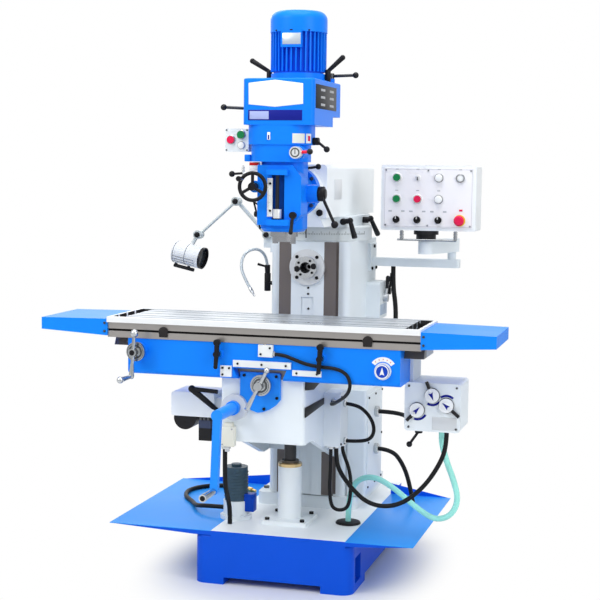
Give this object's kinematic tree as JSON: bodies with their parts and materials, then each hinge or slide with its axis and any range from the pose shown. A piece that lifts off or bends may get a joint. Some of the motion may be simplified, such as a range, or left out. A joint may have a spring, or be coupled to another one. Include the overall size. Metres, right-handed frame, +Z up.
{
  "type": "universal milling machine",
  "caption": "Knee-type universal mill with a horizontal spindle in the column, a swivelling ram with a vertical head, a long T-slot table, control panel and work lamp.",
  "frame": {"origin": "on the floor at the middle of the base and of its four anchor bolts", "axes": "+X along the table to the operator's right, -Y towards the operator, +Z up"},
  "size_m": [1.696, 1.631, 2.172],
  "materials": {
    "white_paint": "semi-gloss light grey-white paint",
    "blue_paint": "semi-gloss bright blue paint",
    "ground_steel": "ground and turned steel",
    "cast_iron_bare": "ground cast iron",
    "chrome_steel": "bright plated steel",
    "black_plastic": "smooth black plastic",
    "black_rubber": "black cable sheath",
    "pump_grey": "dark slate paint",
    "lamp_white": "white moulded lamp body",
    "green_plastic": "green moulded cap",
    "red_plastic": "red moulded cap"
  },
  "bodies": {
    "frame": {"base_casting": "blue_paint", "tray_wings": "blue_paint", "column": "white_paint", "column_brackets": "white_paint", "spindle_flange": "white_paint", "electrical_cabinet": "white_paint", "screw_pedestal": "white_paint", "coolant_pump": "pump_grey", "frame_hoses": "black_rubber"},
    "panel": {"control_panel": "white_paint"},
    "knee": {"knee": "white_paint", "knee_front_plate": "blue_paint", "knee_feed_drive": "white_paint", "knee_cables": "black_rubber"},
    "saddle": {"saddle": "blue_paint", "saddle_wipers": "white_paint", "feed_gearbox": "white_paint", "saddle_cables": "black_rubber"},
    "table": {"table": "cast_iron_bare", "table_wings": "blue_paint"},
    "head": {"head_casting": "blue_paint", "gear_head": "blue_paint", "belt_housing": "blue_paint", "motor": "blue_paint", "button_box": "white_paint"},
    "horizontal_spindle_body": {"horizontal_spindle": "ground_steel"},
    "shift_lever_body": {"shift_lever": "black_plastic"},
    "panel_green_upper_body": {"panel_green_upper": "green_plastic"},
    "panel_green_lower_body": {"panel_green_lower": "green_plastic"},
    "panel_red_button_body": {"panel_red_button": "red_plastic"},
    "panel_selector_left_body": {"panel_selector_left": "black_plastic"},
    "panel_selector_middle_body": {"panel_selector_middle": "black_plastic"},
    "panel_selector_right_body": {"panel_selector_right": "black_plastic"},
    "emergency_stop_body": {"emergency_stop": "red_plastic"},
    "lamp_lower_arm_body": {"lamp_lower_arm": "chrome_steel"},
    "lamp_upper_arm_body": {"lamp_upper_arm": "chrome_steel"},
    "lamp_head_body": {"lamp_head": "lamp_white"},
    "elevating_screw_body": {"elevating_screw": "ground_steel"},
    "knee_crank_body": {"knee_crank": "blue_paint"},
    "cross_crank_body": {"cross_crank": "chrome_steel"},
    "knee_clamp_lever_body": {"knee_clamp_lever": "black_plastic"},
    "gearbox_dial_upper_body": {"gearbox_dial_upper": "white_paint"},
    "gearbox_dial_left_body": {"gearbox_dial_left": "white_paint"},
    "gearbox_dial_right_body": {"gearbox_dial_right": "white_paint"},
    "feed_selector_body": {"feed_selector": "blue_paint"},
    "table_crank_body": {"table_crank": "chrome_steel"},
    "table_lock_left_body": {"table_lock_left": "black_plastic"},
    "table_lock_right_body": {"table_lock_right": "black_plastic"},
    "turret_body": {"turret": "white_paint"},
    "ram_body": {"ram": "white_paint"},
    "quill_body": {"quill": "ground_steel"},
    "vertical_spindle_body": {"vertical_spindle": "ground_steel"},
    "quill_lever_body": {"quill_lever": "chrome_steel"},
    "handwheel_body": {"handwheel": "chrome_steel"},
    "brake_lever_body": {"brake_lever": "chrome_steel"},
    "gear_lever_body": {"gear_lever": "chrome_steel"},
    "feed_dial_lever_body": {"feed_dial_lever": "chrome_steel"},
    "quill_lock_lever_body": {"quill_lock_lever": "black_plastic"},
    "head_green_button_body": {"head_green_button": "green_plastic"},
    "head_red_button_body": {"head_red_button": "red_plastic"}
  },
  "joints": [
    {"name": "horizontal_spindle_spin", "type": "hinge", "parent": "frame", "child": "horizontal_spindle_body", "pos_m": [0, -0.07, 1.184], "axis": [0, 1, 0], "continuous": true},
    {"name": "shift_lever_turn", "type": "hinge", "parent": "frame", "child": "shift_lever_body", "pos_m": [0.225, 0.335, 1.035], "axis": [1, 0, 0], "range_deg": [-20, 20]},
    {"name": "panel_swivel", "type": "hinge", "parent": "frame", "child": "panel", "pos_m": [0.44, 0.13, 1.293], "axis": [0, 0, 1], "range_deg": [-30, 15]},
    {"name": "panel_green_upper_press", "type": "slide", "parent": "panel", "child": "panel_green_upper_body", "axis": [0, 1, 0], "range_m": [0, 0.004], "stiffness_N_per_m": 700, "springref_m": -0.002},
    {"name": "panel_green_lower_press", "type": "slide", "parent": "panel", "child": "panel_green_lower_body", "axis": [0, 1, 0], "range_m": [0, 0.004], "stiffness_N_per_m": 700, "springref_m": -0.002},
    {"name": "panel_red_button_press", "type": "slide", "parent": "panel", "child": "panel_red_button_body", "axis": [0, 1, 0], "range_m": [0, 0.004], "stiffness_N_per_m": 700, "springref_m": -0.002},
    {"name": "panel_selector_left_turn", "type": "hinge", "parent": "panel", "child": "panel_selector_left_body", "pos_m": [0.327, 0.077, 1.377], "axis": [0, 1, 0], "range_deg": [-45, 45]},
    {"name": "panel_selector_middle_turn", "type": "hinge", "parent": "panel", "child": "panel_selector_middle_body", "pos_m": [0.412, 0.077, 1.377], "axis": [0, 1, 0], "range_deg": [-45, 45]},
    {"name": "panel_selector_right_turn", "type": "hinge", "parent": "panel", "child": "panel_selector_right_body", "pos_m": [0.497, 0.077, 1.377], "axis": [0, 1, 0], "range_deg": [-45, 45]},
    {"name": "emergency_stop_press", "type": "slide", "parent": "panel", "child": "emergency_stop_body", "axis": [0, 1, 0], "range_m": [0, 0.006], "stiffness_N_per_m": 1200, "springref_m": -0.002},
    {"name": "lamp_lower_turn", "type": "hinge", "parent": "frame", "child": "lamp_lower_arm_body", "pos_m": [-0.195, 0.018, 1.305], "axis": [0, 1, 0], "range_deg": [-15, 20]},
    {"name": "lamp_upper_turn", "type": "hinge", "parent": "lamp_lower_arm_body", "child": "lamp_upper_arm_body", "pos_m": [-0.322, -0.002, 1.439], "axis": [0, 1, 0], "range_deg": [-20, 25]},
    {"name": "lamp_head_turn", "type": "hinge", "parent": "lamp_upper_arm_body", "child": "lamp_head_body", "pos_m": [-0.478, -0.023, 1.3], "axis": [0, 1, 0], "range_deg": [-30, 20]},
    {"name": "knee_slide", "type": "slide", "parent": "frame", "child": "knee", "axis": [0, 0, 1], "range_m": [-0.17, 0.13], "deforming": ["frame_hoses", "knee_cables", "saddle_cables"]},
    {"name": "elevating_screw_turn", "type": "hinge", "parent": "knee", "child": "elevating_screw_body", "pos_m": [0, -0.292, 0.6], "axis": [0, 0, 1], "continuous": true},
    {"name": "knee_crank_turn", "type": "hinge", "parent": "knee", "child": "knee_crank_body", "pos_m": [-0.1, -0.7, 0.712], "axis": [0, 1, 0], "continuous": true},
    {"name": "cross_crank_turn", "type": "hinge", "parent": "knee", "child": "cross_crank_body", "pos_m": [0.005, -0.7, 0.8], "axis": [0, 1, 0], "continuous": true},
    {"name": "knee_clamp_turn", "type": "hinge", "parent": "knee", "child": "knee_clamp_lever_body", "pos_m": [-0.159, -0.6, 0.668], "axis": [1, 0, 0], "range_deg": [-25, 25]},
    {"name": "cross_slide", "type": "slide", "parent": "knee", "child": "saddle", "axis": [0, 1, 0], "range_m": [0, 0.24], "deforming": ["frame_hoses", "knee_cables", "saddle_cables"]},
    {"name": "table_crank_turn", "type": "hinge", "parent": "saddle", "child": "table_crank_body", "pos_m": [-0.458, -0.744, 0.906], "axis": [0, 1, 0], "continuous": true},
    {"name": "table_lock_left_turn", "type": "hinge", "parent": "saddle", "child": "table_lock_left_body", "pos_m": [-0.155, -0.72, 0.908], "axis": [0, 1, 0], "range_deg": [-30, 30]},
    {"name": "table_lock_right_turn", "type": "hinge", "parent": "saddle", "child": "table_lock_right_body", "pos_m": [0.228, -0.72, 0.908], "axis": [0, 1, 0], "range_deg": [-30, 30]},
    {"name": "feed_selector_turn", "type": "hinge", "parent": "saddle", "child": "feed_selector_body", "pos_m": [0.452, -0.71, 0.874], "axis": [0, 1, 0], "range_deg": [-45, 45]},
    {"name": "gearbox_dial_upper_turn", "type": "hinge", "parent": "saddle", "child": "gearbox_dial_upper_body", "pos_m": [0.6, -0.55, 0.772], "axis": [0, 1, 0], "range_deg": [-40, 40]},
    {"name": "gearbox_dial_left_turn", "type": "hinge", "parent": "saddle", "child": "gearbox_dial_left_body", "pos_m": [0.546, -0.55, 0.717], "axis": [0, 1, 0], "range_deg": [-40, 40]},
    {"name": "gearbox_dial_right_turn", "type": "hinge", "parent": "saddle", "child": "gearbox_dial_right_body", "pos_m": [0.652, -0.55, 0.739], "axis": [0, 1, 0], "range_deg": [-40, 40]},
    {"name": "table_slide", "type": "slide", "parent": "saddle", "child": "table", "axis": [1, 0, 0], "range_m": [-0.35, 0.35]},
    {"name": "turret_swivel", "type": "hinge", "parent": "frame", "child": "turret_body", "pos_m": [0, 0.2, 1.285], "axis": [0, 0, 1], "range_deg": [-20, 20]},
    {"name": "ram_slide", "type": "slide", "parent": "turret_body", "child": "ram_body", "axis": [0, 1, 0], "range_m": [-0.3, 0.14]},
    {"name": "head_tilt", "type": "hinge", "parent": "ram_body", "child": "head", "pos_m": [0, -0.25, 1.487], "axis": [0, 1, 0], "range_deg": [-45, 40]},
    {"name": "quill_slide", "type": "slide", "parent": "head", "child": "quill_body", "axis": [0, 0, -1], "range_m": [0, 0.12]},
    {"name": "vertical_spindle_spin", "type": "hinge", "parent": "quill_body", "child": "vertical_spindle_body", "pos_m": [0, -0.412, 1.4], "axis": [0, 0, 1], "continuous": true},
    {"name": "quill_lever_turn", "type": "hinge", "parent": "head", "child": "quill_lever_body", "pos_m": [0.128, -0.398, 1.483], "axis": [1, 0, 0], "range_deg": [0, 229.2]},
    {"name": "handwheel_turn", "type": "hinge", "parent": "head", "child": "handwheel_body", "pos_m": [-0.087, -0.512, 1.508], "axis": [0, 1, 0], "continuous": true},
    {"name": "gear_lever_turn", "type": "hinge", "parent": "head", "child": "gear_lever_body", "pos_m": [-0.15, -0.37, 1.8], "axis": [1, 0, 0], "range_deg": [-20, 20]},
    {"name": "brake_lever_turn", "type": "hinge", "parent": "head", "child": "brake_lever_body", "pos_m": [0.108, -0.16, 1.922], "axis": [0, 0, 1], "range_deg": [-25, 25]},
    {"name": "feed_dial_turn", "type": "hinge", "parent": "head", "child": "feed_dial_lever_body", "pos_m": [0.079, -0.522, 1.634], "axis": [0, 1, 0], "range_deg": [-35, 35]},
    {"name": "quill_lock_turn", "type": "hinge", "parent": "head", "child": "quill_lock_lever_body", "pos_m": [0.062, -0.508, 1.405], "axis": [0, 1, 0], "range_deg": [-45, 0]},
    {"name": "head_red_button_press", "type": "slide", "parent": "head", "child": "head_red_button_body", "axis": [0, 1, 0], "range_m": [0, 0.004], "stiffness_N_per_m": 700, "springref_m": -0.002},
    {"name": "head_green_button_press", "type": "slide", "parent": "head", "child": "head_green_button_body", "axis": [0, 1, 0], "range_m": [0, 0.004], "stiffness_N_per_m": 700, "springref_m": -0.002}
  ],
  "couplings": [
    {"joint": "elevating_screw_turn", "follows": "knee_slide", "rad_per_m": 1256.6},
    {"joint": "cross_crank_turn", "follows": "cross_slide", "rad_per_m": 1256.6},
    {"joint": "table_crank_turn", "follows": "table_slide", "rad_per_m": 1256.6},
    {"joint": "quill_lever_turn", "follows": "quill_slide", "rad_per_m": 33.333}
  ]
}
